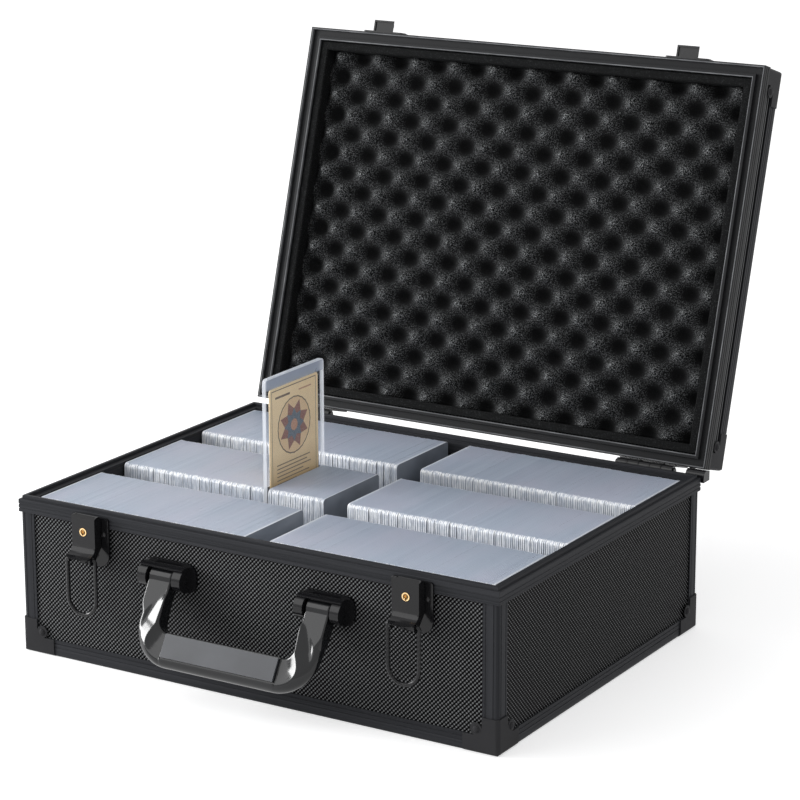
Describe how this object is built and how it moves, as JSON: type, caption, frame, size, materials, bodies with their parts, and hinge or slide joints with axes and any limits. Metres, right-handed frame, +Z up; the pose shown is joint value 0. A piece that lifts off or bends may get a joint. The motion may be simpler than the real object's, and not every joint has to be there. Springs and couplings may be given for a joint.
{
  "type": "lidded carry case for sleeved cards",
  "caption": "Lidded carry case with framed knurled panels, corner guards, key latches, a folding handle and rows of sleeved cards.",
  "frame": {"origin": "middle of the base's flat underside", "axes": "+X to the right along the front, +Y from the front with its handle to the hinges, +Z up"},
  "size_m": [0.3986, 0.46, 0.414],
  "materials": {
    "extrusion": "satin, fluted",
    "knurled_panel": "diamond knurled sheet",
    "hardware": "gloss",
    "brass": "polished",
    "foam": "open cell foam",
    "sleeve": "clear rigid sheet",
    "card": "coated printed card",
    "moulding": "semi gloss"
  },
  "bodies": {
    "base": {"bottom_frame": "extrusion", "base_collar": "extrusion", "corner_post_front_left": "extrusion", "corner_post_front_right": "extrusion", "corner_post_rear_left": "extrusion", "corner_post_rear_right": "extrusion", "front_panel": "knurled_panel", "rear_panel": "knurled_panel", "left_panel": "knurled_panel", "right_panel": "knurled_panel", "bottom_panel": "knurled_panel", "foam_tray": "foam", "foam_dividers": "foam", "sleeve_row_front_left": "sleeve", "sleeve_row_front_right": "sleeve", "sleeve_row_middle_right": "sleeve", "sleeve_row_middle_left_outer": "sleeve", "sleeve_row_middle_left_inner": "sleeve", "sleeve_row_rear_left": "sleeve", "sleeve_row_rear_right": "sleeve", "base_guard_front_left": "hardware", "base_guard_front_right": "hardware", "base_guard_rear_left": "hardware", "base_guard_rear_right": "hardware", "left_latch_plate": "hardware", "right_latch_plate": "hardware", "handle_bracket_left": "hardware", "handle_bracket_right": "hardware", "handle_pin_left": "hardware", "handle_pin_right": "hardware", "hinge_leaf_base_left": "hardware", "hinge_leaf_base_right": "hardware", "hinge_pin_left": "hardware", "hinge_pin_right": "hardware", "lid_stop": "hardware"},
    "lid": {"lid_rim": "extrusion", "lid_side_band": "knurled_panel", "lid_edge_frame": "extrusion", "lid_cover": "knurled_panel", "lid_foam": "foam", "lid_guard_front_left": "hardware", "lid_guard_front_right": "hardware", "lid_guard_rear_left": "hardware", "lid_guard_rear_right": "hardware", "hasp_left": "hardware", "hasp_right": "hardware", "hinge_leaf_lid_left": "hardware", "hinge_leaf_lid_right": "hardware"},
    "handle": {"handle": "moulding", "handle_insert": "moulding"},
    "left_lever": {"left_latch_lever": "hardware"},
    "right_lever": {"right_latch_lever": "hardware"},
    "left_bail": {"left_latch_bail": "hardware"},
    "right_bail": {"right_latch_bail": "hardware"},
    "left_lock": {"left_lock_cylinder": "brass"},
    "right_lock": {"right_lock_cylinder": "brass"},
    "raised_card": {"raised_sleeve": "sleeve", "raised_card": "card"}
  },
  "joints": [
    {"name": "lid_hinge", "type": "hinge", "parent": "base", "child": "lid", "pos_m": [0, 0.153, 0.1152], "axis": [1, 0, 0], "range_deg": [0, 106.64]},
    {"name": "handle_pivot", "type": "hinge", "parent": "base", "child": "handle", "pos_m": [0, -0.1549, 0.081], "axis": [-1, 0, 0], "range_deg": [0, 62]},
    {"name": "left_lever_pivot", "type": "hinge", "parent": "base", "child": "left_lever", "pos_m": [-0.1325, -0.153, 0.1122], "axis": [1, 0, 0], "range_deg": [-100, 0]},
    {"name": "left_bail_pivot", "type": "hinge", "parent": "left_lever", "child": "left_bail", "pos_m": [-0.1325, -0.1612, 0.0845], "axis": [-1, 0, 0], "range_deg": [-14, 191.5]},
    {"name": "left_lock_turn", "type": "hinge", "parent": "left_lever", "child": "left_lock", "pos_m": [-0.1325, -0.158, 0.1032], "axis": [0, -1, 0], "range_deg": [0, 90]},
    {"name": "right_lever_pivot", "type": "hinge", "parent": "base", "child": "right_lever", "pos_m": [0.1325, -0.153, 0.1122], "axis": [1, 0, 0], "range_deg": [-100, 0]},
    {"name": "right_bail_pivot", "type": "hinge", "parent": "right_lever", "child": "right_bail", "pos_m": [0.1325, -0.1612, 0.0845], "axis": [-1, 0, 0], "range_deg": [-14, 191.5]},
    {"name": "right_lock_turn", "type": "hinge", "parent": "right_lever", "child": "right_lock", "pos_m": [0.1325, -0.158, 0.1032], "axis": [0, -1, 0], "range_deg": [0, 90]},
    {"name": "raised_card_slide", "type": "slide", "parent": "base", "child": "raised_card", "axis": [0, 0, -1], "range_m": [0, 0.0814]}
  ],
  "couplings": [
    {"joint": "raised_card_slide", "follows": "lid_hinge", "m_per_rad": 0.0437}
  ]
}
